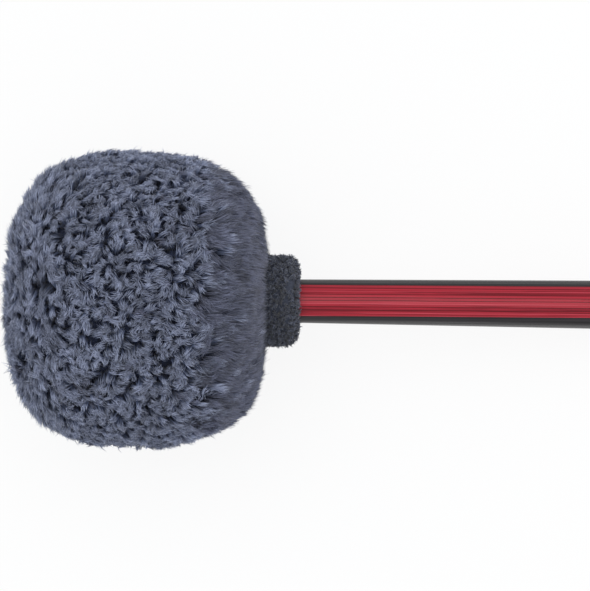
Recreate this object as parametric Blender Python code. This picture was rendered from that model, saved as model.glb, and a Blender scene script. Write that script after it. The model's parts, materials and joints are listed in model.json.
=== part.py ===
"""Gong mallet: a plush-covered head with a steel core on a laminated hardwood handle.

The mallet lies on a table: its head at -X, its butt at +X, and both touch the plane z = 0.
Every piece is modelled along the mallet's own axis, which is X here and starts at the head's
far end. One empty, mallet_axis, then pitches all of them down towards the butt.
Y is the width of the table, and the veneers of the handle are stacked along it.
Lengths are metres.
"""

import math

import bmesh
import bpy
from mathutils import Matrix, Vector

# Head cover, measured over the pile
HEAD_LENGTH = 0.114
HEAD_RADIUS = 0.0645
HEAD_WIDEST = 0.054
FRONT_FULLNESS = 2.7
BACK_FULLNESS = 3.1
COVER_THICKNESS = 0.008
REST_CUT = 0.001

# Gathered neck of the cover and the thread that ties it
NECK_WALL = 0.0024
NECK_MARGIN = 0.0004
TIE_DIAMETER = 0.0012
TIE_TURNS = 4
TIE_PITCH = 0.0017

# Collar
COLLAR_RADIUS = 0.020
COLLAR_LENGTH = 0.0137
COLLAR_OUTER_EDGE = 0.0045
COLLAR_INNER_EDGE = 0.0016

# Handle
MALLET_LENGTH = 0.390
HANDLE_COLLAR_RADIUS = 0.0095
HANDLE_BUTT_RADIUS = 0.0116
BUTT_EDGE = 0.003
TENON_RADIUS = 0.0075
TENON_RECESS = 0.001

# Veneers of the handle
VENEER_THICKNESS = 0.00125
GLUE_LINE = 0.0001
RED_VENEERS = 10
RED_OFFSET = 0.0004
RUN_OUT = 0.005

# Core weight and what clamps it
CORE_FRONT = 0.032
CORE_LENGTH = 0.052
CORE_RADIUS = 0.020
CORE_EDGE = 0.001
FRONT_WASHER_RADIUS = 0.015
BACK_WASHER_RADIUS = 0.017
WASHER_THICKNESS = 0.002
SCREW_RADIUS = 0.0025
SCREW_ROOT_RADIUS = 0.0018
SCREW_LENGTH = 0.030
SCREW_PITCH = 0.0025
SCREW_POINT = 0.004
SCREW_HEAD_RADIUS = 0.006
SCREW_HEAD_HEIGHT = 0.0042
SCREW_SLOT_WIDTH = 0.0014
SCREW_SLOT_DEPTH = 0.0018

# Felt round the core
FELT_THICKNESS = 0.003
FELT_TURNS = 3
FELT_GAP = 0.0005

# Clearances and mesh fineness
CLEARANCE = 0.0003
FOAM_CLEARANCE = 0.0005
SPARE = 0.002
SEGMENTS = 40
SCREW_SEGMENTS = 16
TIE_POINTS = 20

# Stations along the axis that the pieces share
collar_front = HEAD_LENGTH + CLEARANCE
collar_back = collar_front + COLLAR_LENGTH
tie_front = HEAD_LENGTH + NECK_MARGIN + TIE_DIAMETER / 2
tie_back = tie_front + TIE_TURNS * TIE_PITCH
neck_end = tie_back + TIE_DIAMETER / 2 + NECK_MARGIN
core_back = CORE_FRONT + CORE_LENGTH
front_washer_back = CORE_FRONT - CLEARANCE
front_washer_front = front_washer_back - WASHER_THICKNESS
back_washer_front = core_back + CLEARANCE
back_washer_back = back_washer_front + WASHER_THICKNESS
shoulder = back_washer_back + CLEARANCE
tenon_end = CORE_FRONT + TENON_RECESS
screw_seat = front_washer_front - CLEARANCE
screw_head_front = screw_seat - SCREW_HEAD_HEIGHT
screw_tip = screw_seat + SCREW_LENGTH
felt_inner = CORE_RADIUS + CLEARANCE
felt_outer = felt_inner + FELT_TURNS * (FELT_THICKNESS + FELT_GAP) + FELT_THICKNESS
foam_inset = COVER_THICKNESS + FOAM_CLEARANCE


def handle_radius(station):
    """Radius of the tapered handle at a station along the axis."""
    taper = (HANDLE_BUTT_RADIUS - HANDLE_COLLAR_RADIUS) / (MALLET_LENGTH - collar_back)
    return HANDLE_COLLAR_RADIUS + taper * (station - collar_back)


def bore_radius(station):
    """Radius of a bore that clears the handle at a station along the axis."""
    return handle_radius(station) + CLEARANCE


# Head outline, a superellipse in two halves that meet at the widest circle


def half_reach(behind, inset):
    """Length of the front or the back half of the outline, drawn in by the inset."""
    length = HEAD_LENGTH - HEAD_WIDEST if behind else HEAD_WIDEST
    return length - inset


def half_fullness(behind):
    """Exponent of the front or the back half; 2 is an ellipse and more is squarer."""
    return BACK_FULLNESS if behind else FRONT_FULLNESS


def outline_radius(station, inset):
    """Radius of the outline at a station between its poles."""
    behind = station > HEAD_WIDEST
    share = min(abs(station - HEAD_WIDEST) / half_reach(behind, inset), 1)
    power = half_fullness(behind)
    return (HEAD_RADIUS - inset) * (1 - share**power) ** (1 / power)


def back_station(radius, inset):
    """Station at which the back of the outline has come down to a radius."""
    share = radius / (HEAD_RADIUS - inset)
    return HEAD_WIDEST + half_reach(True, inset) * (1 - share**BACK_FULLNESS) ** (1 / BACK_FULLNESS)


def head_outline(inset, first, last, steps):
    """Outline points between two of its stations and radii, evenly turned about its middle."""
    start, end = (math.atan2(radius, station - HEAD_WIDEST) for station, radius in (first, last))
    points = []
    for i in range(steps + 1):
        bearing = start + (end - start) * i / steps
        behind = math.cos(bearing) > 0
        power = half_fullness(behind)
        along = abs(math.cos(bearing)) / half_reach(behind, inset)
        across = abs(math.sin(bearing)) / (HEAD_RADIUS - inset)
        reach = (along**power + across**power) ** (-1 / power)
        points.append((HEAD_WIDEST + reach * math.cos(bearing), reach * math.sin(bearing)))
    points[0] = first
    points[-1] = last
    return points


def arc(centre, radius, first_degrees, last_degrees, steps=4):
    """Points of a round edge; 0 degrees points along the axis and 90 away from it."""
    points = []
    for i in range(steps + 1):
        angle = math.radians(first_degrees + (last_degrees - first_degrees) * i / steps)
        points.append((centre[0] + radius * math.cos(angle), centre[1] + radius * math.sin(angle)))
    return points


# Solids


def material(name, colour, roughness, metallic=0.0):
    """A Principled material of one colour."""
    made = bpy.data.materials.new(name)
    made.use_nodes = True
    shader = made.node_tree.nodes["Principled BSDF"]
    shader.inputs["Base Color"].default_value = (*colour, 1.0)
    shader.inputs["Roughness"].default_value = roughness
    shader.inputs["Metallic"].default_value = metallic
    made.diffuse_color = (*colour, 1.0)
    return made


def add_piece(name, bm, finish):
    """Makes an object of a bmesh and hangs it on the mallet's axis."""
    bmesh.ops.recalc_face_normals(bm, faces=bm.faces)
    mesh = bpy.data.meshes.new(name)
    bm.to_mesh(mesh)
    bm.free()
    mesh.shade_smooth()
    mesh.set_sharp_from_angle(angle=math.radians(35))
    mesh.materials.append(finish)
    piece = bpy.data.objects.new(name, mesh)
    bpy.context.collection.objects.link(piece)
    piece.parent = mallet_axis
    return piece


def turned(outline, segments=SEGMENTS):
    """A bmesh turned about the axis from an outline of stations and radii.

    The outline is closed by the spin where both its ends lie on the axis, and otherwise by
    an edge from its last point to its first.
    """
    bm = bmesh.new()
    points = [bm.verts.new((station, 0, radius)) for station, radius in outline]
    edges = [bm.edges.new(pair) for pair in zip(points, points[1:])]
    if outline[0][1] > 0:
        edges.append(bm.edges.new((points[-1], points[0])))
    bmesh.ops.spin(
        bm,
        geom=points + edges,
        cent=(0, 0, 0),
        axis=(1, 0, 0),
        angle=math.tau,
        steps=segments,
    )
    bmesh.ops.remove_doubles(bm, verts=bm.verts, dist=1e-6)
    return bm


def block(low, high):
    """A bmesh box between two corners."""
    bm = bmesh.new()
    bmesh.ops.create_cube(bm, size=1)
    size = Vector(high) - Vector(low)
    middle = (Vector(high) + Vector(low)) / 2
    bmesh.ops.transform(
        bm, matrix=Matrix.Translation(middle) @ Matrix.Diagonal((*size, 1)), verts=bm.verts
    )
    return bm


def cutter(name, bm):
    """An object that only shapes others."""
    made = add_piece(name, bm, construction)
    made.hide_render = True
    made.display_type = "WIRE"
    return made


def boolean(piece, tool, operation):
    """Shapes a piece with a cutter."""
    shaped = piece.modifiers.new(operation.lower(), "BOOLEAN")
    shaped.operation = operation
    shaped.object = tool
    shaped.solver = "EXACT"


# Handle


def handle_outline():
    """Outline of the turned handle, from the bottom of the screw's hole to the butt."""
    hole = SCREW_RADIUS + CLEARANCE
    hole_end = screw_tip + CLEARANCE
    round_edge = arc(
        (MALLET_LENGTH - BUTT_EDGE, handle_radius(MALLET_LENGTH) - BUTT_EDGE),
        BUTT_EDGE,
        90,
        0,
    )
    return [
        (hole_end, 0),
        (hole_end, hole),
        (tenon_end, hole),
        (tenon_end, TENON_RADIUS),
        (shoulder, TENON_RADIUS),
        (shoulder, handle_radius(shoulder)),
        (collar_back, HANDLE_COLLAR_RADIUS),
        *round_edge,
        (MALLET_LENGTH, 0),
    ]


def add_veneers():
    """Cuts the handle's blank into its boards, red in the middle and black on both sides."""
    blank = cutter("handle_blank", turned(handle_outline()))
    pitch = VENEER_THICKNESS + GLUE_LINE
    half_red = RED_VENEERS * pitch / 2
    shift_at_butt = RED_OFFSET + RUN_OUT * (MALLET_LENGTH - collar_back)
    lean = Matrix.Translation((collar_back, RED_OFFSET, 0))
    lean @= Matrix.Rotation(math.atan(RUN_OUT), 4, "Z")
    lean @= Matrix.Translation((-collar_back, 0, 0))

    def add_veneer(name, low, high, finish):
        reach = HANDLE_BUTT_RADIUS + SPARE
        bm = block((tenon_end - SPARE, low, -reach), (MALLET_LENGTH + SPARE, high, reach))
        bmesh.ops.transform(bm, matrix=lean, verts=bm.verts)
        boolean(add_piece(name, bm, finish), blank, "INTERSECT")

    for i in range(RED_VENEERS):
        low = i * pitch - half_red + GLUE_LINE / 2
        add_veneer(f"red_veneer_{i + 1:02d}", low, low + VENEER_THICKNESS, red_wood)
    for side, label in ((1, "upper"), (-1, "lower")):
        # The outermost board takes what is left of the radius at the butt.
        room = HANDLE_BUTT_RADIUS - half_red - side * shift_at_butt
        boards = max(1, round(room / pitch))
        for i in range(boards):
            inner = half_red + i * pitch + GLUE_LINE / 2
            outer = inner + (VENEER_THICKNESS if i < boards - 1 else room)
            low, high = sorted((side * inner, side * outer))
            add_veneer(f"black_veneer_{label}_{i + 1}", low, high, black_wood)


# Core


def add_core_weight():
    """The steel weight, bored for the tenon."""
    bore = TENON_RADIUS + CLEARANCE
    outline = [
        (CORE_FRONT, bore),
        *arc((CORE_FRONT + CORE_EDGE, CORE_RADIUS - CORE_EDGE), CORE_EDGE, 180, 90, 2),
        *arc((core_back - CORE_EDGE, CORE_RADIUS - CORE_EDGE), CORE_EDGE, 90, 0, 2),
        (core_back, bore),
    ]
    add_piece("core_weight", turned(outline), steel)


def add_ring(name, front, back, inner, outer, finish):
    """A flat ring, such as a washer or a felt disc."""
    outline = [(front, inner), (front, outer), (back, outer), (back, inner)]
    add_piece(name, turned(outline), finish)


def add_core_screw():
    """The slotted screw that clamps the weight onto the tenon."""
    threads = int((SCREW_LENGTH - SCREW_POINT) / SCREW_PITCH) - 1
    thread_start = screw_tip - SCREW_POINT - threads * SCREW_PITCH
    crown = SCREW_HEAD_HEIGHT / 2
    outline = [
        (screw_head_front, 0),
        (screw_head_front, SCREW_HEAD_RADIUS - crown),
        *arc((screw_head_front + crown, SCREW_HEAD_RADIUS - crown), crown, 150, 90, 2),
        (screw_seat, SCREW_HEAD_RADIUS),
        (screw_seat, SCREW_ROOT_RADIUS),
    ]
    for i in range(threads):
        outline.append((thread_start + i * SCREW_PITCH, SCREW_ROOT_RADIUS))
        outline.append((thread_start + (i + 0.5) * SCREW_PITCH, SCREW_RADIUS))
    outline.append((screw_tip - SCREW_POINT, SCREW_ROOT_RADIUS))
    outline.append((screw_tip, 0))
    screw = add_piece("core_screw", turned(outline, SCREW_SEGMENTS), steel)
    half_slot = SCREW_SLOT_WIDTH / 2
    reach = SCREW_HEAD_RADIUS + SPARE
    slot = block(
        (screw_head_front - SPARE, -half_slot, -reach),
        (screw_head_front + SCREW_SLOT_DEPTH, half_slot, reach),
    )
    boolean(screw, cutter("screw_slot", slot), "DIFFERENCE")


def add_felt_wrap():
    """The felt strip, wound round the weight in a spiral."""
    bm = bmesh.new()
    growth = (FELT_THICKNESS + FELT_GAP) / SEGMENTS
    strip = []
    for i in range(FELT_TURNS * SEGMENTS + 1):
        angle = math.tau * i / SEGMENTS
        inner = felt_inner + growth * i
        aim = Vector((0, math.sin(angle), math.cos(angle)))
        start = Vector((CORE_FRONT, 0, 0))
        strip.append(
            (bm.verts.new(start + aim * inner), bm.verts.new(start + aim * (inner + FELT_THICKNESS)))
        )
    for (a, b), (d, c) in zip(strip, strip[1:]):
        bm.faces.new((a, b, c, d))
    made = bmesh.ops.extrude_face_region(bm, geom=list(bm.faces))
    moved = [item for item in made["geom"] if isinstance(item, bmesh.types.BMVert)]
    bmesh.ops.translate(bm, vec=(CORE_LENGTH, 0, 0), verts=moved)
    add_piece("felt_wrap", bm, felt)


# Foam


def foam_skin(front, back, steps):
    """Outline of the foam's outer side between two stations."""
    first = (front, outline_radius(front, foam_inset))
    last = (back, outline_radius(back, foam_inset))
    return head_outline(foam_inset, first, last, steps)


def add_foam():
    """Sleeve and two end caps that fill the cover round the felt and the core."""
    sleeve_front = front_washer_front
    sleeve_back = back_washer_back
    sleeve_bore = felt_outer + CLEARANCE
    sleeve = foam_skin(sleeve_front, sleeve_back, 9)
    outline = [(sleeve_front, sleeve_bore), *sleeve, (sleeve_back, sleeve_bore)]
    add_piece("foam_sleeve", turned(outline), foam)

    cap_front = sleeve_front - CLEARANCE
    pocket = SCREW_HEAD_RADIUS + CLEARANCE
    pocket_end = screw_head_front - CLEARANCE
    cap = foam_skin(foam_inset, cap_front, 7)
    outline = [*cap, (cap_front, pocket), (pocket_end, pocket), (pocket_end, 0)]
    add_piece("foam_front_cap", turned(outline), foam)

    cap_back = sleeve_back + CLEARANCE
    bore = bore_radius(HEAD_LENGTH)
    cap = foam_skin(cap_back, back_station(bore, foam_inset), 7)
    outline = [(cap_back, bore), *cap]
    add_piece("foam_back_cap", turned(outline), foam)


# Cover, its tie and the collar


def cover_outline():
    """Outline of the plush cover: over the head, along the neck and back inside."""
    neck_bore = bore_radius(HEAD_LENGTH)
    neck = neck_bore + NECK_WALL
    inside = COVER_THICKNESS
    outer = head_outline(0, (0, 0), (back_station(neck, 0), neck), 26)
    inner = head_outline(inside, (inside, 0), (back_station(neck_bore, inside), neck_bore), 22)
    return [
        *outer,
        (neck_end, bore_radius(neck_end) + NECK_WALL),
        (neck_end, bore_radius(neck_end)),
        *reversed(inner),
    ]


def add_cover():
    """The plush cover, flat where the head rests."""
    cover = add_piece("fleece_cover", turned(cover_outline()), plush)
    reach = HEAD_RADIUS + HEAD_LENGTH
    table = cutter("table", block((-reach, -reach, -reach), (reach, reach, 0)))
    table.parent = None
    table.location = (mallet_axis.location.x, 0, 0)
    boolean(cover, table, "DIFFERENCE")


def add_neck_tie():
    """The thread, wound round the neck as one unbroken helix."""
    centre_radius = bore_radius(neck_end) + NECK_WALL + CLEARANCE + TIE_DIAMETER / 2
    curve = bpy.data.curves.new("neck_tie", "CURVE")
    curve.dimensions = "3D"
    curve.bevel_depth = TIE_DIAMETER / 2
    curve.bevel_resolution = 1
    curve.use_fill_caps = True
    spline = curve.splines.new("POLY")
    count = TIE_TURNS * TIE_POINTS
    spline.points.add(count)
    for i in range(count + 1):
        angle = math.tau * i / TIE_POINTS
        station = tie_front + (tie_back - tie_front) * i / count
        y = centre_radius * math.cos(angle)
        z = centre_radius * math.sin(angle)
        spline.points[i].co = (station, y, z, 1)
    curve.materials.append(thread)
    tie = bpy.data.objects.new("neck_tie", curve)
    bpy.context.collection.objects.link(tie)
    tie.parent = mallet_axis
    print(f"Least gap between turns of the neck tie: {(TIE_PITCH - TIE_DIAMETER) * 1000:.2f} mm")


def add_collar():
    """The fuzzy collar, hollow over the tied neck and close on the handle."""
    pocket = bore_radius(neck_end) + NECK_WALL + TIE_DIAMETER + 2 * CLEARANCE
    pocket_end = neck_end + CLEARANCE
    front_centre = (collar_front + COLLAR_INNER_EDGE, COLLAR_RADIUS - COLLAR_INNER_EDGE)
    back_centre = (collar_back - COLLAR_OUTER_EDGE, COLLAR_RADIUS - COLLAR_OUTER_EDGE)
    outline = [
        (collar_front, pocket),
        *arc(front_centre, COLLAR_INNER_EDGE, 180, 90, 3),
        *arc(back_centre, COLLAR_OUTER_EDGE, 90, 0, 5),
        (collar_back, bore_radius(collar_back)),
        (pocket_end, bore_radius(pocket_end)),
        (pocket_end, pocket),
    ]
    add_piece("collar_ring", turned(outline), charcoal)


# How the mallet lies


def depth(outline, pitch):
    """How far an outline reaches below the head's far end when the axis is pitched."""
    return max(
        station * math.sin(pitch) + radius * math.cos(pitch) for station, radius in outline
    )


def resting_pitch():
    """Pitch at which the head's flat and the butt's edge touch the table together."""
    low, high = 0.0, math.radians(45)
    for _ in range(60):
        pitch = (low + high) / 2
        if depth(cover_outline(), pitch) - REST_CUT > depth(handle_outline(), pitch):
            low = pitch
        else:
            high = pitch
    return pitch


def lay_down(axis):
    """Places the axis so that the mallet rests on z = 0, centred on X."""
    pitch = resting_pitch()
    near = min(s * math.cos(pitch) - r * math.sin(pitch) for s, r in cover_outline())
    far = max(s * math.cos(pitch) + r * math.sin(pitch) for s, r in handle_outline())
    axis.rotation_euler = (0, pitch, 0)
    axis.location = (-(near + far) / 2, 0, depth(handle_outline(), pitch))


for old in list(bpy.data.objects):
    bpy.data.objects.remove(old, do_unlink=True)

plush = material("slate plush", (0.089, 0.105, 0.162), 0.95)
charcoal = material("charcoal felt", (0.038, 0.042, 0.057), 0.95)
red_wood = material("red dyed veneer", (0.34, 0.035, 0.05), 0.25)
black_wood = material("black dyed veneer", (0.02, 0.018, 0.02), 0.25)
steel = material("steel", (0.55, 0.56, 0.57), 0.35, 1.0)
felt = material("grey felt", (0.35, 0.34, 0.32), 0.95)
foam = material("pale foam", (0.75, 0.72, 0.6), 0.9)
thread = material("black thread", (0.02, 0.02, 0.025), 0.8)
construction = material("construction", (0.8, 0.8, 0.8), 0.5)

mallet_axis = bpy.data.objects.new("mallet_axis", None)
bpy.context.collection.objects.link(mallet_axis)
lay_down(mallet_axis)

add_veneers()
add_core_weight()
front_hole = SCREW_RADIUS + CLEARANCE
back_hole = TENON_RADIUS + CLEARANCE
front_disc_bore = FRONT_WASHER_RADIUS + CLEARANCE
back_disc_bore = BACK_WASHER_RADIUS + CLEARANCE
front_faces = (front_washer_front, front_washer_back)
back_faces = (back_washer_front, back_washer_back)
add_ring("front_washer", *front_faces, front_hole, FRONT_WASHER_RADIUS, steel)
add_ring("back_washer", *back_faces, back_hole, BACK_WASHER_RADIUS, steel)
add_ring("front_felt_disc", *front_faces, front_disc_bore, felt_outer, felt)
add_ring("back_felt_disc", *back_faces, back_disc_bore, felt_outer, felt)
add_core_screw()
add_felt_wrap()
add_foam()
add_cover()
add_neck_tie()
add_collar()
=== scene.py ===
"""Gong mallet, dressed for the render.

The plush head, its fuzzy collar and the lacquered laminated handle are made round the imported
frame. The mallet's own axis runs from the head's far end to the butt. Pieces are shaped along
X at first, in stations measured from the far end, and are then laid down onto that axis.
Lengths are metres, and +Z is up.
"""

import json
import math

import bpy
import numpy as np
from mathutils import Matrix, Vector


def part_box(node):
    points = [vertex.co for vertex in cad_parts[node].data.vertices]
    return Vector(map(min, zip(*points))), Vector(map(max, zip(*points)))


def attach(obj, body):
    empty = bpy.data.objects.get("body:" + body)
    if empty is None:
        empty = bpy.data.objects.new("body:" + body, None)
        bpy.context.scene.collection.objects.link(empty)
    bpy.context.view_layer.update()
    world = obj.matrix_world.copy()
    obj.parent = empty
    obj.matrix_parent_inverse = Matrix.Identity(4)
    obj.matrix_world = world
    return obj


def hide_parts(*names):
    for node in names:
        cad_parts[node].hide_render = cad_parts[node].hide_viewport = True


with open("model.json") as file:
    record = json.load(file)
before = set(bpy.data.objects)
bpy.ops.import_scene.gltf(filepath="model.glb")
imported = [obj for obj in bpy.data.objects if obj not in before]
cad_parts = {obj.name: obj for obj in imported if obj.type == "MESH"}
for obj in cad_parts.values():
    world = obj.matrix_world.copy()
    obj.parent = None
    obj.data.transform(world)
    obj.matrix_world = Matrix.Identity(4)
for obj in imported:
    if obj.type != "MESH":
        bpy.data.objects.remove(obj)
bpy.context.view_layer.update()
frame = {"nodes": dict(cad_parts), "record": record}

bl_info = {
    "name": "Gong mallet",
    "version": (1, 0, 0),
    "blender": (4, 5, 0),
    "location": "View3D > Sidebar > Mallet",
    "description": "A plush gong mallet with a laminated handle",
    "category": "Object",
}

BODY = "root"
MOUNTS = {mount["name"]: mount for mount in frame["record"]["mounts"]}
AXIS = Vector(MOUNTS["butt_face"]["axis"])
PITCH = math.atan2(-AXIS.z, AXIS.x)
BUTT = Vector((MOUNTS["butt_face"]["pos_m"][0], 0, MOUNTS["butt_face"]["pos_m"][2]))
HEAD_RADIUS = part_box("fleece_cover")[1].y
COLLAR_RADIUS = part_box("collar_ring")[1].y
RED_NODES = sorted(node for node in frame["nodes"] if node.startswith("red_veneer"))
UPPER_NODES = sorted(node for node in frame["nodes"] if node.startswith("black_veneer_upper"))
LOWER_NODES = sorted(node for node in frame["nodes"] if node.startswith("black_veneer_lower"))


def length(name, default, description):
    """A length that a user can change."""
    return bpy.props.FloatProperty(
        name=name, description=description, default=default, min=0, unit="LENGTH", precision=5
    )


def number(name, default, description):
    """A plain number that a user can change."""
    return bpy.props.FloatProperty(name=name, description=description, default=default)


def count(name, default, description):
    """A count that a user can change."""
    return bpy.props.IntProperty(name=name, description=description, default=default, min=1)


def colour(name, default, description):
    """A colour that a user can change."""
    return bpy.props.FloatVectorProperty(
        name=name, description=description, default=default, subtype="COLOR", min=0, max=1
    )


class HeadSizes(bpy.types.PropertyGroup):
    """Sizes of the plush head."""

    length: length("Head length", 0.114, "From the far end to the back of the head")
    radius: length("Head radius", HEAD_RADIUS, "Widest radius over the pile")
    widest: length("Widest at", 0.054, "From the far end to the widest circle")
    front_fullness: number("Front fullness", 2.7, "2 is an ellipse, more is squarer")
    back_fullness: number("Back fullness", 3.1, "2 is an ellipse, more is squarer")
    pile_depth: length("Pile depth", 0.0058, "From the backing to the tips of the pile")
    tufts: count("Tufts", 6200, "Tufts of pile on the head")
    strands: count("Strands", 24, "Strands in each tuft")
    strand_width: length("Strand width", 0.00033, "Thickness of a strand")
    panels: count("Panels", 12, "Panels that the pile is divided into")


class CollarSizes(bpy.types.PropertyGroup):
    """Sizes of the fuzzy collar."""

    front: length("Front", 0.1143, "Station of the face against the head")
    radius: length("Radius", COLLAR_RADIUS, "Radius over the fuzz")
    length: length("Length", 0.0137, "Length along the handle")
    curls: count("Curls", 1350, "Curls of fuzz on the collar")


class HandleSizes(bpy.types.PropertyGroup):
    """Sizes of the laminated handle."""

    mallet_length: length("Mallet length", 0.390, "From the head's far end to the butt")
    collar_radius: length("Radius at collar", 0.0095, "Radius where the handle leaves the collar")
    butt_radius: length("Radius at butt", 0.01155, "Radius at the butt")
    butt_edge: length("Butt edge", 0.003, "Round edge of the butt")
    shoulder: length("Shoulder", 0.0866, "Station of the shoulder inside the head")
    tenon_front: length("Tenon front", 0.033, "Station of the tenon's end")
    tenon_radius: length("Tenon radius", 0.0075, "Radius of the tenon inside the head")
    veneer: length("Veneer", 0.00125, "Thickness of one veneer")
    glue_line: length("Glue line", 0.0001, "Thickness of the glue between two veneers")
    red_offset: length("Red offset", 0.0004, "How far the red band is off centre at the collar")
    run_out: number("Run-out", 0.005, "How far the veneers drift across per unit of length")


class Colours(bpy.types.PropertyGroup):
    """Colours of the mallet."""

    # The pile's paler tips are partly the strands' own colour and partly a painted highlight.
    pile_tip_and_highlight: colour("Pile tip", (0.390, 0.430, 0.575), "Tips of the pile")
    pile_middle: colour("Pile middle", (0.072, 0.091, 0.158), "Middle of the strands")
    # The roots' dark colour is painted shade of the crevices between the tufts, and the backing takes it
    # too.
    pile_root_shade: colour("Pile root", (0.018, 0.025, 0.056), "Roots of the pile")
    pile_grey: colour("Pile grey", (0.165, 0.180, 0.262), "Greyer strands near the neck")
    collar: colour("Collar", (0.048, 0.056, 0.084), "Fuzz of the collar")
    red: colour("Red veneer", (0.350, 0.016, 0.031), "Dyed red veneers")
    red_light: colour("Light red", (0.50, 0.058, 0.085), "Light streaks of the red veneers")
    red_dark: colour("Dark red", (0.105, 0.002, 0.007), "Dark streaks of the red veneers")
    black: colour("Black veneer", (0.016, 0.014, 0.016), "Dyed black veneers")


class StageSettings(bpy.types.PropertyGroup):
    """Camera, lights and floor."""

    pixel: length("Pixel", 0.0004363, "Size of one pixel of the picture at the mallet's axis")
    distance: length("Distance", 1.5, "From the camera to the mallet's axis")
    roll: number("Roll", 0.70, "Degrees by which the axis runs down to the right")
    sky: number("Sky", 0.90, "Strength of the sky for light")
    key: number("Key", 6.8, "Power of the key lamp")


def settings():
    """The scene's settings."""
    return bpy.context.scene.mallet


class MalletSettings(bpy.types.PropertyGroup):
    """All the settings of the mallet."""

    head: bpy.props.PointerProperty(type=HeadSizes)
    collar: bpy.props.PointerProperty(type=CollarSizes)
    handle: bpy.props.PointerProperty(type=HandleSizes)
    colours: bpy.props.PointerProperty(type=Colours)
    stage: bpy.props.PointerProperty(type=StageSettings)


def far_end():
    """The point where the mallet's axis leaves the head's far end."""
    return BUTT - AXIS * settings().handle.mallet_length


# Materials

STRAND_MAP = "OFBake"
# In the pile, a strand's shade in that map is below this for the blue tufts and above it for
# the greyer ones.
GREY_FROM = 0.5
# How far to each side of a veneer's edge its glue line shows, as a share of the veneer.
SEAM_SHARE = 0.13


class Value:
    """A shader socket that can be used in sums."""

    def __init__(self, tree, socket):
        self.tree = tree
        self.socket = socket

    def sum_with(self, operation, first, second):
        """A Math node on two operands."""
        node = self.tree.nodes.new("ShaderNodeMath")
        node.operation = operation
        for slot, operand in zip(node.inputs, (first, second)):
            if isinstance(operand, Value):
                self.tree.links.new(operand.socket, slot)
            else:
                slot.default_value = operand
        return Value(self.tree, node.outputs[0])

    def __add__(self, other):
        return self.sum_with("ADD", self, other)

    __radd__ = __add__

    def __sub__(self, other):
        return self.sum_with("SUBTRACT", self, other)

    def __rsub__(self, other):
        return self.sum_with("SUBTRACT", other, self)

    def __mul__(self, other):
        return self.sum_with("MULTIPLY", self, other)

    __rmul__ = __mul__

    def __truediv__(self, other):
        return self.sum_with("DIVIDE", self, other)

    def floor(self):
        """The whole number below."""
        return self.sum_with("FLOOR", self, 0.0)

    def absolute(self):
        """The value without its sign."""
        return self.sum_with("ABSOLUTE", self, 0.0)

    def at_most(self, other):
        """The value, or the other where that is less."""
        return self.sum_with("MINIMUM", self, other)

    def above(self, other):
        """1 where the value is above the other, and 0 elsewhere."""
        return self.sum_with("GREATER_THAN", self, other)

    def output(self, name):
        """Another output of the same node."""
        return Value(self.tree, self.socket.node.outputs[name])


class Finish:
    """A material on one Principled shader, built node by node."""

    def __init__(self, name, **constants):
        self.material = bpy.data.materials.new(name)
        self.material.use_nodes = True
        self.tree = self.material.node_tree
        self.shader = self.tree.nodes["Principled BSDF"]
        self.set(**constants)

    def set(self, **sockets):
        """Sets or links sockets of the Principled shader, named with _ for a space."""
        self.fill(self.shader, sockets)

    def fill(self, node, sockets):
        """Gives a node's sockets their values or links."""
        for name, value in sockets.items():
            self.plug(node.inputs[name.replace("_", " ")], value)

    def plug(self, slot, value):
        """Gives one socket its value or link."""
        if isinstance(value, Value):
            self.tree.links.new(value.socket, slot)
        elif slot.type == "RGBA":
            slot.default_value = (*value, 1.0)
        else:
            slot.default_value = value

    def node(self, kind, options=None, output=0, **sockets):
        """Adds a node of a kind, sets its options and then its sockets, and returns an output."""
        made = self.tree.nodes.new("ShaderNode" + kind)
        for name, value in (options or {}).items():
            setattr(made, name, value)
        self.fill(made, sockets)
        return Value(self.tree, made.outputs[output])

    def ramp(self, factor, stops):
        """A colour ramp over a factor."""
        made = self.tree.nodes.new("ShaderNodeValToRGB")
        ramp = made.color_ramp
        while len(ramp.elements) < len(stops):
            ramp.elements.new(0.5)
        for element, (place, shade) in zip(ramp.elements, stops):
            element.position = place
            element.color = (*shade, 1.0)
        self.fill(made, {"Fac": factor})
        return Value(self.tree, made.outputs[0])

    def mix(self, factor, first, second, blend="MIX"):
        """Mixes two colours by a factor."""
        made = self.tree.nodes.new("ShaderNodeMix")
        made.data_type = "RGBA"
        made.blend_type = blend
        for place, value in ((0, factor), (6, first), (7, second)):
            self.plug(made.inputs[place], value)
        return Value(self.tree, made.outputs[2])

    def along_axis(self, scale=(1, 1, 1)):
        """Object coordinates turned to run along the mallet's axis, and scaled."""
        place = self.node("TexCoord", output="Object")
        options = {"vector_type": "POINT"}
        moved = self.node("VectorMath", {"operation": "SUBTRACT"}, Vector=place)
        self.plug(moved.socket.node.inputs[1], far_end())
        turned = self.node("Mapping", options, Vector=moved, Rotation=(0, -PITCH, 0))
        return self.node("Mapping", options, Vector=turned, Scale=scale)

    def noise(self, vector, scale=1.0, detail=2.0, roughness=0.5):
        """Noise between 0 and 1."""
        return self.node("TexNoise", Vector=vector, Scale=scale, Detail=detail, Roughness=roughness)

    def bump(self, height, strength, distance):
        """Makes the surface rise and fall with a height."""
        normal = self.node("Bump", Height=height, Strength=strength, Distance=distance)
        self.set(Normal=normal)

    def strand_map(self):
        """The shade of a strand and the place along it, from the map that its mesh carries."""
        place = self.node("SeparateXYZ", Vector=self.node("UVMap", {"uv_map": STRAND_MAP}))
        return place, place.output("Y")

    def tint(self, shade, strength):
        """Colours the surface with a shade that is dimmed or lit by a strength."""
        spread = self.node("CombineColor", Red=strength, Green=strength, Blue=strength)
        self.set(Base_Color=self.mix(1.0, shade, spread, "MULTIPLY"))


def tone(rgb, factor):
    """A lighter or darker tone of a colour."""
    return tuple(channel * factor for channel in rgb)


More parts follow.
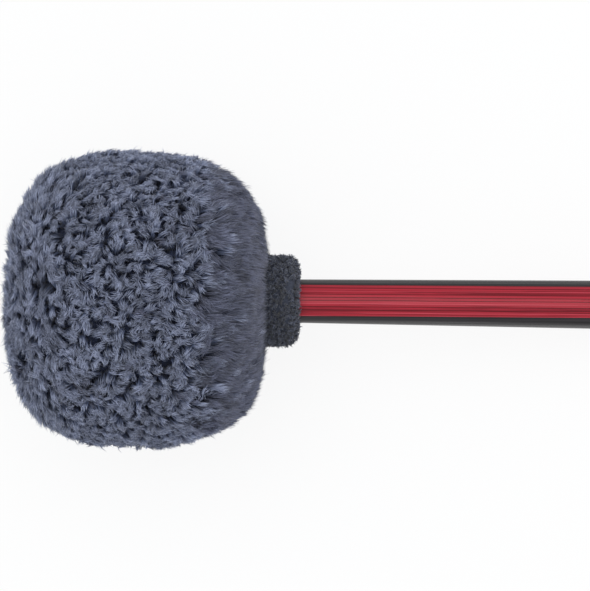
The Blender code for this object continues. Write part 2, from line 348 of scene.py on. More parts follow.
def plush_finish():
    """Pile: darkened towards the roots with painted shade of the crevices between the tufts, and pale at
    the tips, partly the strands' own paler colour and partly a painted highlight, with strands of unlike
    tones.
    """
    c = settings().colours
    finish = Finish("slate plush", Roughness=0.6)
    finish.set(Specular_IOR_Level=0.25, Sheen_Weight=0.12, Sheen_Roughness=0.45)
    strand, along = finish.strand_map()
    # Both ramps darken the strands from the middle down to the roots with painted shade of the crevices,
    # and their pale tips are partly a painted highlight.
    cool = finish.ramp(along, [(0.05, c.pile_root_shade), (0.50, c.pile_middle), (0.97, c.pile_tip_and_highlight)])
    grey = finish.ramp(
        along, [(0.0, c.pile_root_shade), (0.4, tone(c.pile_grey, 0.6)), (0.95, c.pile_grey)]
    )
    is_grey = strand.above(GREY_FROM)
    finish.tint(finish.mix(is_grey, cool, grey), (strand * 2.0 - is_grey) * 1.1 + 0.45)
    return finish.material


def backing_finish():
    """The knitted backing between the tufts, painted dark with the shade that falls in the crevices of the
    pile.
    """
    c = settings().colours
    finish = Finish("knitted backing", Roughness=0.95)
    knit = finish.node("TexVoronoi", {"feature": "F1"}, Vector=finish.along_axis(), Scale=900.0)
    # The ground's dark tones are painted shade of the crevices, taken from the pile's roots.
    ground = finish.ramp(knit, [(0.0, tone(c.pile_root_shade, 1.5)), (0.8, tone(c.pile_root_shade, 0.5))])
    finish.set(Base_Color=ground)
    finish.bump(knit, strength=0.5, distance=0.0003)
    return finish.material


def collar_finish():
    """Charcoal fuzz, darkened towards the roots with painted shade, with paler nubs that are partly their
    own colour and partly a painted highlight.
    """
    c = settings().colours
    finish = Finish("charcoal fuzz", Roughness=0.8, Sheen_Weight=0.3, Sheen_Roughness=0.5)
    strand, along = finish.strand_map()
    # The roots are darkened with painted shade between the curls, and the pale nub tips are partly a
    # painted highlight.
    nub_and_highlight = tone(c.collar, 2.4)
    shade = finish.ramp(along, [(0.1, tone(c.collar, 0.2)), (0.6, c.collar), (1.0, nub_and_highlight)])
    finish.tint(shade, strand * 1.3 + 0.35)
    return finish.material


def felt_ground_finish():
    """The felt body of the collar, under its fuzz."""
    c = settings().colours
    finish = Finish("collar felt", Roughness=0.95)
    fibre = finish.noise(finish.along_axis(), scale=1400.0, detail=4.0, roughness=0.7)
    finish.set(Base_Color=finish.ramp(fibre, [(0.3, tone(c.collar, 0.4)), (0.7, tone(c.collar, 1.1))]))
    finish.bump(fibre, strength=0.6, distance=0.0004)
    return finish.material


def collar_back():
    """Station of the collar's far face, where the handle comes out of it."""
    collar = settings().collar
    return collar.front + collar.length


def board_pitch():
    """Thickness of a veneer and its glue line."""
    return settings().handle.veneer + settings().handle.glue_line


def lacquer(finish):
    """Clear gloss lacquer over the wood."""
    finish.set(Coat_Weight=0.32, Coat_Roughness=0.22, Coat_IOR=1.5, Specular_IOR_Level=0.04)


def red_finish():
    """Dyed red veneers with streaked grain, one tone to a veneer."""
    c = settings().colours
    sizes = settings().handle
    finish = Finish("red dyed veneer", Roughness=0.38)
    lacquer(finish)
    station = finish.node("SeparateXYZ", Vector=finish.along_axis())
    drift = (station - collar_back()) * sizes.run_out + sizes.red_offset
    level = (station.output("Y") - drift) / board_pitch()
    # Each board and each glue line has a tone of its own, and about a third of the lines are light.
    one_number = {"noise_dimensions": "1D"}
    veneer = finish.node("TexWhiteNoise", one_number, W=level.floor() + 31.0)
    nearest = (level + 0.5).floor()
    seam = 1 - (level - nearest).absolute().above(SEAM_SHARE)
    seam_tone = finish.node("TexWhiteNoise", one_number, W=nearest + 7.0)
    streak = finish.noise(finish.along_axis((8, 1300, 1300)), detail=3.0, roughness=0.65)
    fine = finish.noise(finish.along_axis((30, 3400, 3400)), detail=2.0, roughness=0.6)
    cloud = finish.noise(finish.along_axis((18, 60, 60)), detail=2.0, roughness=0.5)
    grain = streak * 0.62 + fine * 0.34 + veneer * 0.30 + cloud * 0.14 - 0.21
    grain = grain + seam * (seam_tone.above(0.68) * 0.60 - 0.34)
    finish.set(
        Base_Color=finish.ramp(
            grain, [(0.30, c.red_dark), (0.48, c.red), (0.62, c.red), (0.78, c.red_light)]
        )
    )
    finish.bump(fine, strength=0.08, distance=0.00005)
    return finish.material


def black_finish():
    """Dyed black veneers, with the faintest grain."""
    c = settings().colours
    finish = Finish("black dyed veneer", Roughness=0.38)
    lacquer(finish)
    grain = finish.noise(finish.along_axis((14, 900, 900)), detail=3.0, roughness=0.6)
    finish.set(Base_Color=finish.ramp(grain, [(0.3, tone(c.black, 0.5)), (0.75, tone(c.black, 1.9))]))
    finish.bump(grain, strength=0.05, distance=0.00005)
    return finish.material


def steel_finish():
    """Turned steel of the core weight."""
    finish = Finish("turned steel", Metallic=1.0)
    rings = finish.noise(finish.along_axis((2600, 40, 40)), detail=3.0, roughness=0.6)
    finish.set(Base_Color=finish.ramp(rings, [(0.2, (0.36, 0.36, 0.37)), (0.8, (0.58, 0.58, 0.59))]))
    finish.set(Roughness=rings * 0.3 + 0.2)
    return finish.material


def zinc_finish():
    """Zinc-plated washers and screw."""
    finish = Finish("zinc plate", Metallic=1.0)
    spangle = finish.node("TexVoronoi", {"feature": "F1"}, Vector=finish.along_axis(), Scale=700.0)
    finish.set(Base_Color=finish.ramp(spangle, [(0.0, (0.52, 0.53, 0.55)), (0.8, (0.70, 0.69, 0.64))]))
    finish.set(Roughness=spangle * 0.2 + 0.25)
    return finish.material


def wool_finish():
    """Pressed grey felt of the wrap and the discs."""
    finish = Finish("pressed wool felt", Roughness=0.95)
    fibre = finish.noise(finish.along_axis(), scale=1500.0, detail=5.0, roughness=0.75)
    finish.set(Base_Color=finish.ramp(fibre, [(0.3, (0.24, 0.23, 0.21)), (0.7, (0.42, 0.41, 0.38))]))
    finish.bump(fibre, strength=0.5, distance=0.0003)
    return finish.material


def foam_finish():
    """Open-cell foam of the filling."""
    finish = Finish("open-cell foam", Roughness=0.9)
    cells = finish.node("TexVoronoi", {"feature": "F1"}, Vector=finish.along_axis(), Scale=1100.0)
    finish.set(Base_Color=finish.ramp(cells, [(0.0, (0.42, 0.38, 0.26)), (0.6, (0.78, 0.74, 0.60))]))
    finish.bump(cells, strength=0.6, distance=0.0005)
    return finish.material


def thread_finish():
    """Waxed black thread."""
    finish = Finish("waxed thread", Roughness=0.55)
    twist = finish.node(
        "TexWave",
        {"wave_type": "BANDS", "bands_direction": "DIAGONAL"},
        Vector=finish.along_axis(),
        Scale=900.0,
    )
    finish.set(Base_Color=finish.ramp(twist, [(0.2, (0.008, 0.008, 0.010)), (0.8, (0.035, 0.035, 0.042))]))
    finish.bump(twist, strength=0.6, distance=0.0001)
    return finish.material


# Modelling by hand


def lay_down():
    """Matrix that takes a point of the shaping space onto the mallet's axis."""
    return Matrix.Translation(far_end()) @ Matrix.Rotation(PITCH, 4, "Y")


def deselect():
    """Deselects everything, in object mode."""
    if bpy.context.object is not None and bpy.context.object.mode != "OBJECT":
        bpy.ops.object.mode_set(mode="OBJECT")
    bpy.ops.object.select_all(action="DESELECT")


def pick(piece):
    """Makes one piece the selected and active one."""
    deselect()
    piece.select_set(True)
    bpy.context.view_layer.objects.active = piece


def turn(name, outline, segments):
    """Extrudes an outline point by point from one vertex and spins it about the axis."""
    deselect()
    bpy.ops.mesh.primitive_plane_add(size=0.001, location=(0, 0, 0))
    piece = bpy.context.object
    piece.name = name
    piece.data.name = name
    bpy.ops.object.mode_set(mode="EDIT")
    bpy.ops.mesh.select_mode(type="VERT")
    bpy.ops.mesh.merge(type="CENTER")
    bpy.ops.transform.translate(value=(outline[0][0], 0, outline[0][1]))
    for (station, radius), (next_station, next_radius) in zip(outline, outline[1:]):
        step = (next_station - station, 0, next_radius - radius)
        bpy.ops.mesh.extrude_vertices_move(TRANSFORM_OT_translate={"value": step})
    bpy.ops.mesh.select_all(action="SELECT")
    bpy.ops.mesh.spin(steps=segments, angle=math.tau, center=(0, 0, 0), axis=(1, 0, 0))
    bpy.ops.mesh.select_all(action="SELECT")
    bpy.ops.mesh.remove_doubles(threshold=1e-6)
    bpy.ops.mesh.normals_make_consistent(inside=False)
    bpy.ops.object.mode_set(mode="OBJECT")
    return piece


def finish_piece(piece, material, node, smooth_degrees=35):
    """Lays a piece down on the mallet's axis, shades it and ties it to the frame."""
    pick(piece)
    piece.matrix_world = lay_down() @ piece.matrix_world
    bpy.ops.object.transform_apply(location=True, rotation=True, scale=True)
    bpy.ops.object.shade_smooth_by_angle(angle=math.radians(smooth_degrees))
    piece.data.materials.clear()
    piece.data.materials.append(material)
    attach(piece, BODY)
    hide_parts(node)


def arc(centre, radius, first_degrees, last_degrees, steps):
    """Points of a round edge; 0 degrees points along the axis and 90 away from it."""
    points = []
    for i in range(steps + 1):
        angle = math.radians(first_degrees + (last_degrees - first_degrees) * i / steps)
        points.append((centre[0] + radius * math.cos(angle), centre[1] + radius * math.sin(angle)))
    return points


# Head surface


def head_surface(bearing):
    """Stations, radii and outward normals on the head at bearings from 0, the back, to pi."""
    head = settings().head
    behind = np.cos(bearing) > 0
    reach = np.where(behind, head.length - head.widest, head.widest)
    power = np.where(behind, head.back_fullness, head.front_fullness)
    along = np.abs(np.cos(bearing)) / reach
    across = np.abs(np.sin(bearing)) / head.radius
    far = (along**power + across**power) ** (-1 / power)
    u = far * np.cos(bearing)
    r = far * np.sin(bearing)
    slope_u = np.sign(u) * (np.abs(u) / reach) ** (power - 1) / reach
    slope_r = (np.abs(r) / head.radius) ** (power - 1) / head.radius
    size = np.hypot(slope_u, slope_r)
    return head.widest + u, r, slope_u / size, slope_r / size


def waves(points, scale, seed, kinds=14):
    """Smooth noise of about -1 to 1 over points, from a sum of random waves."""
    rng = np.random.default_rng(seed)
    directions = rng.normal(size=(kinds, 3))
    directions /= np.linalg.norm(directions, axis=1, keepdims=True)
    directions *= (math.tau / scale * rng.uniform(0.6, 1.5, kinds))[:, None]
    phases = rng.uniform(0, math.tau, kinds)
    return np.sin(points @ directions.T + phases).sum(axis=1) * math.sqrt(2 / kinds) * 0.7


def unit(vectors):
    """Vectors scaled to length 1."""
    return vectors / np.maximum(np.linalg.norm(vectors, axis=-1, keepdims=True), 1e-12)


def smoothstep(value, low, high):
    """0 below low, 1 above high and smooth between."""
    share = np.clip((value - low) / (high - low), 0, 1)
    return share * share * (3 - 2 * share)


# Two rings of three points between a strand's root and its tip: their places and their widths.
RING_PLACES = np.array((0.34, 0.74))
RING_WIDTHS = np.array((1.0, 0.8))
STRAND_POINTS = 8
# Width of a strand in its map, and the margin that is left at its root and tip.
MAP_WIDTH = 0.012
MAP_MARGIN = 0.02
# The least height of a strand above the table.
TABLE_GAP = 0.0003


def strand_mesh(name, start, bend, tip, width, shade, rng):
    """A mesh of three-sided strands, pointed at both ends and curved from start to tip by bend.

    Its map holds the strand's shade along its width and its length from root to tip.
    """
    total = len(start)
    t = np.array((0.0, *RING_PLACES, 1.0))[None, :, None]
    path = (1 - t) ** 2 * start[:, None] + 2 * t * (1 - t) * bend[:, None] + t**2 * tip[:, None]
    heading = unit(2 * (1 - t) * (bend - start)[:, None] + 2 * t * (tip - bend)[:, None])
    side = unit(np.cross(heading, unit(rng.normal(size=(total, 1, 3)))))
    across = np.cross(side, heading)
    half = (RING_WIDTHS[None, :] * width[:, None] / 2)[..., None]
    points = np.empty((total, STRAND_POINTS, 3))
    points[:, 0] = path[:, 0]
    points[:, 7] = path[:, 3]
    for corner in range(3):
        angle = math.tau * corner / 3
        aim = side * math.cos(angle) + across * math.sin(angle)
        points[:, 1 + corner : 7 : 3] = path[:, 1:3] + aim[:, 1:3] * half

    faces = []
    for k in range(3):
        after = (k + 1) % 3
        faces.append((0, 1 + k, 1 + after))
        faces.append((1 + k, 4 + k, 4 + after, 1 + after))
        faces.append((4 + k, 7, 4 + after))
    corners = np.array([v for face in faces for v in face])
    sizes = np.array([len(face) for face in faces])

    column = np.array([0.5, 0.0, 0.5, 1.0, 0.0, 0.5, 1.0, 0.5])
    row = np.array([0.0, *np.repeat(RING_PLACES, 3), 1.0])
    u = shade[:, None] + (column[None, :] - 0.5) * MAP_WIDTH
    v = MAP_MARGIN + (1 - 2 * MAP_MARGIN) * np.repeat(row[None, :], total, axis=0)
    maps = np.stack([u, v], axis=-1)[:, corners].reshape(-1, 2)

    loops = (corners[None, :] + STRAND_POINTS * np.arange(total)[:, None]).reshape(-1)
    counts = np.tile(sizes, total)
    mesh = bpy.data.meshes.new(name)
    mesh.vertices.add(total * STRAND_POINTS)
    mesh.vertices.foreach_set("co", points.reshape(-1).astype(np.float32))
    mesh.loops.add(len(loops))
    mesh.loops.foreach_set("vertex_index", loops.astype(np.int32))
    mesh.polygons.add(len(counts))
    starts = np.concatenate([[0], np.cumsum(counts)[:-1]])
    mesh.polygons.foreach_set("loop_start", starts.astype(np.int32))
    mesh.polygons.foreach_set("loop_total", counts.astype(np.int32))
    layer = mesh.uv_layers.new(name=STRAND_MAP)
    layer.data.foreach_set("uv", maps.reshape(-1).astype(np.float32))
    mesh.update(calc_edges=True)
    mesh.validate()
    mesh.shade_smooth()
    return mesh


def laid(points):
    """Points of the shaping space laid down onto the mallet's axis, kept above the table."""
    matrix = np.array(lay_down())
    world = points @ matrix[:3, :3].T + matrix[:3, 3]
    world[:, 2] = np.maximum(world[:, 2], TABLE_GAP)
    return world


def add_strands(name, start, bend, tip, width, shade, material, node, rng):
    """Adds one piece made of strands."""
    mesh = strand_mesh(name, start, bend, tip, width, shade, rng)
    coords = np.empty(len(mesh.vertices) * 3, np.float32)
    mesh.vertices.foreach_get("co", coords)
    mesh.vertices.foreach_set("co", laid(coords.reshape(-1, 3)).astype(np.float32).reshape(-1))
    mesh.update()
    mesh.materials.append(material)
    piece = bpy.data.objects.new(name, mesh)
    bpy.context.collection.objects.link(piece)
    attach(piece, BODY)
    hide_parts(node)


# Operators

# Gap that is sawn between two visible veneers.
SEAM_GAP = 0.00001


class MALLET_OT_handle(bpy.types.Operator):
    """Turns the handle and saws it into its veneers"""

    bl_idname = "mallet.handle"
    bl_label = "Laminated handle"

    def execute(self, context):
        """Builds every veneer."""
        sizes = settings().handle
        edge = sizes.butt_edge
        end = sizes.mallet_length
        taper = (sizes.butt_radius - sizes.collar_radius) / (end - collar_back())
        at_shoulder = sizes.collar_radius + taper * (sizes.shoulder - collar_back())
        outline = [
            (sizes.tenon_front, 0),
            (sizes.tenon_front, sizes.tenon_radius),
            (sizes.shoulder, sizes.tenon_radius),
            (sizes.shoulder, at_shoulder),
            (collar_back(), sizes.collar_radius),
            *arc((end - edge, sizes.butt_radius - edge), edge, 90, 0, 8),
            (end, 0),
        ]
        blank = turn("blank", outline, segments=144)
        red = red_finish()
        black = black_finish()
        pitch = board_pitch()
        half_red = len(RED_NODES) * pitch / 2
        past_the_rim = sizes.butt_radius * 2
        for i, node in enumerate(RED_NODES):
            low = i * pitch - half_red + SEAM_GAP / 2
            self.saw(blank, node, low, low + pitch - SEAM_GAP, red, "red_veneer")
        for side, nodes in ((1, UPPER_NODES), (-1, LOWER_NODES)):
            for i, node in enumerate(nodes):
                inner = half_red + i * pitch + SEAM_GAP / 2
                outer = inner + (pitch - SEAM_GAP if i < len(nodes) - 1 else past_the_rim)
                low, high = sorted((side * inner, side * outer))
                self.saw(blank, node, low, high, black, "black_veneer")
        bpy.data.objects.remove(blank, do_unlink=True)
        return {"FINISHED"}

    def saw(self, blank, node, low, high, material, slot):
        """Cuts one veneer out of the turned blank."""
        sizes = settings().handle
        board = blank.copy()
        board.data = blank.data.copy()
        board.name = node.replace("veneer", "board")
        bpy.context.collection.objects.link(board)
        pick(board)
        lean = math.atan(sizes.run_out)
        across = Vector((-math.sin(lean), math.cos(lean), 0))
        pivot = Vector((collar_back(), sizes.red_offset, 0))
        bpy.ops.object.mode_set(mode="EDIT")
        for level, side in ((low, -1), (high, 1)):
            bpy.ops.mesh.select_all(action="SELECT")
            bpy.ops.mesh.bisect(
                plane_co=pivot + across * level,
                plane_no=across * side,
                use_fill=True,
                clear_outer=True,
            )
        bpy.ops.mesh.select_all(action="SELECT")
        bpy.ops.mesh.normals_make_consistent(inside=False)
        bpy.ops.object.mode_set(mode="OBJECT")
        finish_piece(board, material, node)


# The backing's wall, the bearing where its gathered neck begins, and the neck's length.
BACKING_WALL = 0.0012
GATHER_BEARING = 0.21
NECK_LENGTH = 0.0088
# Radius of the neck where it begins and at its end, and of the bore at its end.
NECK_RADII = (0.0122, 0.0121, 0.0098)


class MALLET_OT_backing(bpy.types.Operator):
    """Turns the knitted backing of the cover, gathered at the neck"""

    bl_idname = "mallet.backing"
    bl_label = "Knitted backing"

    def execute(self, context):
        """Builds the backing as one closed wall."""
        head = settings().head
        bearing = np.linspace(math.pi, GATHER_BEARING, 60)
        station, radius, lean, rise = head_surface(bearing)
        depth = head.pile_depth
        outer = list(zip(station - lean * depth, np.maximum(radius - rise * depth, 0)))
        deep = depth + BACKING_WALL
        inner = list(zip(station - lean * deep, np.maximum(radius - rise * deep, 0)))
        outer[0] = (outer[0][0], 0.0)
        inner[0] = (inner[0][0], 0.0)
        neck_end = head.length + NECK_LENGTH
        at_gather, at_end, bore = NECK_RADII
        outer += [(outer[-1][0] + BACKING_WALL, at_gather), (neck_end, at_end)]
        inner += [(neck_end, bore)]
        piece = turn("knitted_backing", [*outer, *reversed(inner)], segments=96)
        finish_piece(piece, backing_finish(), "fleece_cover", 60)
        return {"FINISHED"}


PILE_SEED = 71
# The bearing of the last tufts, near the neck.
LAST_TUFT = 0.25
# Over how many places in all a tuft may stray from its turn in the spiral that sets them out.
SPIRAL_STRAY = 40
# Stations between which the combing of the back sets in, that of the far end fades out, and the
# grey of the neck sets in.
BACK_COMBED = (0.078, 0.098)
FRONT_COMBED = (0.012, 0.034)
GREYED = (0.075, 0.10)
# Radius of a tuft, and what the combing at the back adds to it.
TUFT_RADIUS = (0.00175, 0.0003)
# Share of strands that stand out of their tuft, and how far.
STRAY_SHARE = 0.035
STRAY_LENGTH = 0.0011


class MALLET_OT_pile(bpy.types.Operator):
    """Grows the shaggy pile, combed from the far end towards the neck"""

    bl_idname = "mallet.pile"
    bl_label = "Pile"

    def execute(self, context):
        """Builds the tufts of all the panels."""
        head = settings().head
        rng = np.random.default_rng(PILE_SEED)
        total = head.tufts
        table = np.linspace(math.pi, LAST_TUFT, 1500)
        station, radius, _, _ = head_surface(table)
        slant = np.hypot(np.diff(station), np.diff(radius))
        area = np.cumsum(slant * (radius[1:] + radius[:-1]) / 2)
        share = (np.arange(total) + 0.5 + rng.uniform(-0.5, 0.5, total) * SPIRAL_STRAY) / total
        bearing = np.interp(np.clip(share, 0, 1) * area[-1], area, table[1:])
        golden = math.pi * (3 - math.sqrt(5))
        turn_angle = np.arange(total) * golden + rng.normal(0, 0.012, total)
        self.grow(bearing, turn_angle % math.tau, rng)
        return {"FINISHED"}

    def grow(self, bearing, angle, rng):
        """Grows a tuft at each place on the head."""
        head = settings().head
        station, radius, lean, rise = head_surface(bearing)
        out = np.stack([np.zeros_like(angle), np.sin(angle), np.cos(angle)], axis=1)
        along = np.zeros_like(out)
        along[:, 0] = 1
        normal = unit(out * rise[:, None] + along * lean[:, None])
        down = unit(along * rise[:, None] - out * lean[:, None])
        ring = np.cross(normal, down)
        skin = out * radius[:, None] + along * station[:, None]

        behind = smoothstep(station, *BACK_COMBED)
        ahead = 1 - smoothstep(station, *FRONT_COMBED)
        combed = np.clip(behind + 0.75 * ahead, 0, 1)
        # The tufts lean aside from the way down the head in swirls, less so where they are combed.
        swirl = waves(skin, scale=0.016, seed=3) * (1.5 - 1.25 * combed)
        swirl += waves(skin, scale=0.007, seed=4) * (0.9 - 0.8 * behind)
        swirl += rng.normal(0, 1, len(angle)) * (0.55 - 0.45 * behind)
        comb = down * np.cos(swirl)[:, None] + ring * np.sin(swirl)[:, None]
        lumps = waves(skin, scale=0.03, seed=5) * 0.0009
        lumps += waves(skin, scale=0.009, seed=6) * 0.0007

        # Combed tufts lean further, and those at the back are lower and wider too.
        tufts = len(angle)
        depth = head.pile_depth
        height = depth * (0.98 - 0.10 * behind) + lumps + rng.normal(0, 0.0005, tufts)
        reach = 0.0030 + 0.0045 * combed + rng.uniform(0, 0.0012, tufts)
        spread = TUFT_RADIUS[0] + TUFT_RADIUS[1] * behind
        gather = 0.86 + 0.14 * behind

        def each(values):
            """One value for each strand of a tuft."""
            return np.repeat(values, head.strands, axis=0)

        strands = tufts * head.strands
        disc_angle = rng.uniform(0, math.tau, strands)
        disc_radius = np.sqrt(rng.uniform(0, 1, strands)) * each(spread)
        twist = each(rng.normal(0, 0.9, tufts) * (1 - 0.8 * behind))

        def offset(turned, scale):
            """Where the strands stand round the middle of their tuft."""
            a = (disc_angle + turned)[:, None]
            r = (disc_radius * scale)[:, None]
            return (each(down) * np.cos(a) + each(ring) * np.sin(a)) * r

        # A strand rises from its root, bends at its knee and ends in a tip hooked to one side.
        loose = rng.normal(0, 0.00022, (3, strands, 3))
        ground = skin - normal * depth
        root = each(ground) + offset(0, 1.3)
        rise_share = (0.98 - 0.45 * combed)[:, None]
        knee_reach = (reach * (0.10 + 0.35 * combed))[:, None]
        knee = ground + normal * (height[:, None] * rise_share) + comb * knee_reach
        hook = (rng.normal(0, 0.0014, tufts) * (1 - 0.85 * behind))[:, None]
        sideways = np.cross(normal, comb)
        knee = each(knee - sideways * hook * 0.6) + offset(twist, 0.9) + loose[0]
        end_height = height * (0.86 + 0.10 * combed)
        end = ground + normal * end_height[:, None] + comb * reach[:, None]
        tip = each(end + sideways * hook) + offset(twist * 2, each(gather)) + loose[1] * 2.5
        stray = rng.uniform(0, 1, strands) < STRAY_SHARE
        tip[stray] += (each(normal)[stray] * STRAY_LENGTH) + loose[2][stray] * 3

        width = head.strand_width * rng.uniform(0.75, 1.15, strands)
        grey = smoothstep(station, *GREYED) + rng.normal(0, 0.25, tufts)
        tuft_shade = rng.uniform(0.08, 0.40, tufts) + waves(skin, scale=0.02, seed=8) * 0.04
        shade = each(tuft_shade) + rng.normal(0, 0.12, strands)
        shade = np.clip(shade, 0.01, GREY_FROM - 0.01) + np.where(each(grey) > 0.5, GREY_FROM, 0.0)

        material = plush_finish()
        panel = np.floor(angle / math.tau * head.panels).astype(int) % head.panels
        for i in range(head.panels):
            chosen = each(panel) == i
            add_strands(
                f"pile_panel_{i + 1:02d}",
                root[chosen],
                knee[chosen],
                tip[chosen],
                width[chosen],
                shade[chosen],
                material,
                "fleece_cover",
                rng,
            )


COLLAR_SEED = 17
CURL_STRANDS = 10
# Depth of the fuzz over the felt body, and how far the body runs on past the collar's front.
FUZZ = 0.0019
SUNK = 0.0040
# Radii of the body's two round edges: the one in the head and the one at the handle.
FRONT_EDGE = 0.0012
BACK_EDGE = 0.0040
# Radius of the room for the thread at the neck, and the wall that closes it at the handle.
TIE_ROOM = 0.0141
LIP = 0.0045
# Gap between the collar's bore and the handle.
BORE_GAP = 0.0002


class MALLET_OT_collar(bpy.types.Operator):
    """Turns the felt collar and covers it with curls of fuzz"""

    bl_idname = "mallet.collar"
    bl_label = "Fuzzy collar"

    def execute(self, context):
        """Builds the collar's body and its fuzz."""
        sizes = settings().collar
        front = sizes.front - SUNK
        back = collar_back() - FUZZ
        radius = sizes.radius - FUZZ
        bore = settings().handle.collar_radius + BORE_GAP
        outline = [
            (front, TIE_ROOM),
            *arc((front + FRONT_EDGE, radius - FRONT_EDGE), FRONT_EDGE, 180, 90, 4),
            *arc((back - BACK_EDGE, radius - BACK_EDGE), BACK_EDGE, 90, 0, 8),
            (back, bore),
            (back - LIP, bore),
            (back - LIP, TIE_ROOM),
            (front, TIE_ROOM),
        ]
        body = turn("collar_body", outline, segments=96)
        finish_piece(body, felt_ground_finish(), "collar_ring")

        rng = np.random.default_rng(COLLAR_SEED)
        profile = np.array(outline[1:-3])
        steps = np.linalg.norm(np.diff(profile, axis=0), axis=1)
        weights = steps * (profile[1:, 1] + profile[:-1, 1]) / 2
        total = sizes.curls
        segment = rng.choice(len(steps), size=total, p=weights / weights.sum())
        share = rng.uniform(0, 1, total)[:, None]
        spot = profile[segment] * (1 - share) + profile[segment + 1] * share
        heading = unit(profile[segment + 1] - profile[segment])
        angle = rng.uniform(0, math.tau, total)
        out = np.stack([np.zeros(total), np.sin(angle), np.cos(angle)], axis=1)
        along = np.zeros_like(out)
        along[:, 0] = 1
        skin = out * spot[:, 1:] + along * spot[:, :1]
        normal = unit(out * heading[:, :1] - along * heading[:, 1:])
        wander = unit(rng.normal(size=(total, 3)))
        wander -= normal * (wander * normal).sum(axis=1, keepdims=True)
        wander = unit(wander)

        def each(values):
            """One value for each strand of a curl."""
            return np.repeat(values, CURL_STRANDS, axis=0)

        strands = total * CURL_STRANDS
        loose = rng.normal(0, 0.00042, (3, strands, 3))
        height = rng.uniform(0.0006, 0.0021, total)[:, None]
        reach = rng.uniform(0.0005, 0.0020, total)[:, None]
        root = each(skin - normal * 0.0004) + loose[0]
        knee = each(skin + normal * height * 1.3 + wander * reach) + loose[1]
        tip = each(skin + normal * height * 0.75 + wander * reach * 0.4) + loose[2] * 1.6
        patch = waves(skin, scale=0.0045, seed=23) * 0.22
        shade = each(rng.uniform(0.05, 0.85, total) + patch) + rng.normal(0, 0.12, strands)
        shade = np.clip(shade, 0.02, 0.98)
        width = rng.uniform(0.00030, 0.00048, strands)
        add_strands(
            "collar_fuzz",
            root,
            knee,
            tip,
            width,
            shade,
            collar_finish(),
            "collar_ring",
            rng,
        )
        return {"FINISHED"}


class MALLET_OT_core(bpy.types.Operator):
    """Gives the pieces sealed inside the head their finishes"""

    bl_idname = "mallet.core"
    bl_label = "Core finishes"

    def execute(self, context):
        """Dresses the nodes that keep their solids."""
        finishes = (
            (steel_finish(), "steel", ("core_weight",)),
            (zinc_finish(), "zinc_steel", ("front_washer", "back_washer", "core_screw")),
            (wool_finish(), "felt", ("felt_wrap", "front_felt_disc", "back_felt_disc")),
            (foam_finish(), "foam", ("foam_sleeve", "foam_front_cap", "foam_back_cap")),
            (thread_finish(), "thread", ("neck_tie",)),
        )
        for material, slot, nodes in finishes:
            for node in nodes:
                piece = frame["nodes"][node]
                piece.material_slots[0].material = material
        return {"FINISHED"}


# The floor's grey, and the share of plain white that is mixed in where it is seen.
FLOOR_GREY = 0.86
FLOOR_WHITE = 0.86
# The key lamp: its size, and its place and its aim in the shaping space.
KEY_SIZE = (1.5, 0.9)
KEY_PLACE = Vector((0.06, 0.27, 1.25))
KEY_AIM = Vector((0.12, 0, 0))
# The picture in pixels: its size, where the far end stands in it, and a point of the axis and
# the axis's slope.
PICTURE = (590, 591)
FAR_END_X = 6
AXIS_POINT = (306, 301.18)
AXIS_SLOPE = 0.0122
# Width of the camera's sensor in millimetres.
SENSOR = 36.0


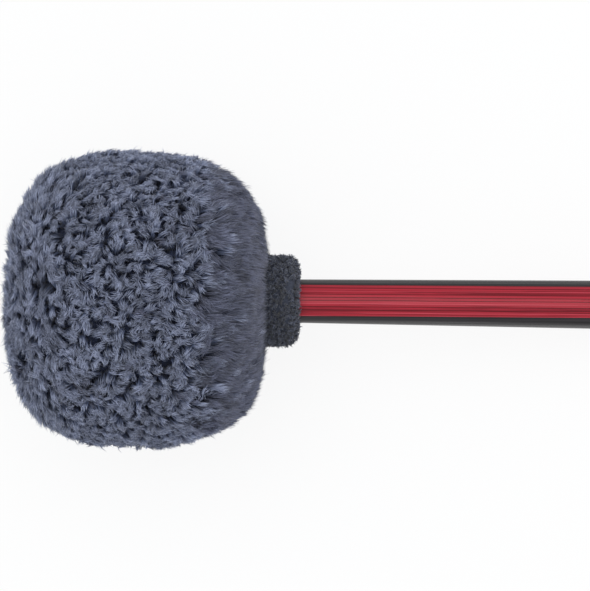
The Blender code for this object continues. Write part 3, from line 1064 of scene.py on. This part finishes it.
class MALLET_OT_stage(bpy.types.Operator):
    """Sets the floor, the lights and the camera"""

    bl_idname = "mallet.stage"
    bl_label = "Stage"

    def execute(self, context):
        """Builds the stage."""
        self.floor()
        self.sky()
        self.lamp()
        self.camera()
        context.scene.view_settings.view_transform = "Standard"
        return {"FINISHED"}

    def seen(self, tree):
        """1 for rays from the camera and for reflections, and 0 for light."""
        path = tree.nodes.new("ShaderNodeLightPath")
        camera, glossy, through = (
            Value(tree, path.outputs[name])
            for name in ("Is Camera Ray", "Is Glossy Ray", "Is Transmission Ray")
        )
        return (camera + glossy + through).at_most(1.0)

    def floor(self):
        """A wide white floor that keeps a faint shadow."""
        deselect()
        bpy.ops.mesh.primitive_circle_add(vertices=64, radius=6.0, fill_type="NGON")
        floor = bpy.context.object
        floor.name = "floor"
        finish = Finish("pale floor", Base_Color=(FLOOR_GREY,) * 3, Roughness=0.9)
        finish.set(Specular_IOR_Level=0.0)
        tree = finish.tree
        glow = tree.nodes.new("ShaderNodeEmission")
        glow.inputs["Strength"].default_value = 1.0
        mix = tree.nodes.new("ShaderNodeMixShader")
        share = self.seen(tree) * FLOOR_WHITE
        tree.links.new(share.socket, mix.inputs[0])
        tree.links.new(finish.shader.outputs[0], mix.inputs[1])
        tree.links.new(glow.outputs[0], mix.inputs[2])
        tree.links.new(mix.outputs[0], tree.nodes["Material Output"].inputs["Surface"])
        floor.data.materials.append(finish.material)

    def sky(self):
        """A plain white sky, softer for light than for the eye."""
        world = bpy.data.worlds.new("studio")
        bpy.context.scene.world = world
        world.use_nodes = True
        tree = world.node_tree
        light = tree.nodes["Background"]
        light.inputs["Color"].default_value = (0.96, 0.98, 1.0, 1)
        light.inputs["Strength"].default_value = settings().stage.sky
        white = tree.nodes.new("ShaderNodeBackground")
        white.inputs["Color"].default_value = (1, 1, 1, 1)
        mix = tree.nodes.new("ShaderNodeMixShader")
        tree.links.new(self.seen(tree).socket, mix.inputs[0])
        tree.links.new(light.outputs[0], mix.inputs[1])
        tree.links.new(white.outputs[0], mix.inputs[2])
        tree.links.new(mix.outputs[0], tree.nodes["World Output"].inputs["Surface"])

    def lamp(self):
        """One soft oblong lamp, over the mallet and a little towards the picture's upper edge."""
        matrix = lay_down()
        place = matrix @ KEY_PLACE
        data = bpy.data.lights.new("key", "AREA")
        data.shape = "RECTANGLE"
        data.size, data.size_y = KEY_SIZE
        data.energy = settings().stage.key
        lamp = bpy.data.objects.new("key", data)
        bpy.context.collection.objects.link(lamp)
        lamp.location = place
        lamp.rotation_euler = (matrix @ KEY_AIM - place).to_track_quat("-Z", "Y").to_euler()

    def camera(self):
        """A long lens, square to the mallet's axis."""
        stage = settings().stage
        width, height = PICTURE
        axis_x, axis_y = AXIS_POINT
        matrix = lay_down()
        turn_back = matrix.to_3x3()
        roll = math.radians(stage.roll)
        right = turn_back @ Vector((math.cos(roll), math.sin(roll), 0))
        up = turn_back @ Vector((-math.sin(roll), math.cos(roll), 0))
        back = right.cross(up)
        middle = (width / 2 - FAR_END_X) * stage.pixel
        drop = (axis_y + (width / 2 - axis_x) * AXIS_SLOPE - height / 2) * stage.pixel
        target = matrix @ Vector((middle, 0, 0)) + up * drop
        data = bpy.data.cameras.new("camera")
        data.sensor_width = SENSOR
        data.lens = SENSOR * stage.distance / (height * stage.pixel)
        data.clip_end = 20.0
        camera = bpy.data.objects.new("camera", data)
        bpy.context.collection.objects.link(camera)
        facing = Matrix((right, up, back)).transposed().to_4x4()
        camera.matrix_world = Matrix.Translation(target + back * stage.distance) @ facing
        bpy.context.scene.camera = camera


class MALLET_PT_panel(bpy.types.Panel):
    """Lists the mallet's settings and pieces."""

    bl_idname = "MALLET_PT_panel"
    bl_label = "Gong mallet"
    bl_space_type = "VIEW_3D"
    bl_region_type = "UI"
    bl_category = "Mallet"

    def draw(self, context):
        """Draws the settings of each group and a button for each operator."""
        for label in ("head", "collar", "handle", "colours", "stage"):
            group = getattr(context.scene.mallet, label)
            box = self.layout.box()
            box.label(text=label.capitalize())
            for name in group.__annotations__:
                box.prop(group, name)
        for operator in OPERATORS:
            self.layout.operator(operator.bl_idname)


OPERATORS = (
    MALLET_OT_stage,
    MALLET_OT_handle,
    MALLET_OT_backing,
    MALLET_OT_pile,
    MALLET_OT_collar,
    MALLET_OT_core,
)
GROUPS = (HeadSizes, CollarSizes, HandleSizes, Colours, StageSettings, MalletSettings)


def register():
    """Adds the classes and the scene's settings."""
    for item in (*GROUPS, *OPERATORS, MALLET_PT_panel):
        bpy.utils.register_class(item)
    bpy.types.Scene.mallet = bpy.props.PointerProperty(type=MalletSettings)


def unregister():
    """Removes what register added."""
    del bpy.types.Scene.mallet
    for item in reversed((*GROUPS, *OPERATORS, MALLET_PT_panel)):
        bpy.utils.unregister_class(item)


def main():
    """Builds the whole scene."""
    register()
    bpy.ops.mallet.stage()
    bpy.ops.mallet.handle()
    bpy.ops.mallet.backing()
    bpy.ops.mallet.pile()
    bpy.ops.mallet.collar()
    bpy.ops.mallet.core()
    bpy.context.view_layer.update()


if __name__ == "__main__":
    main()
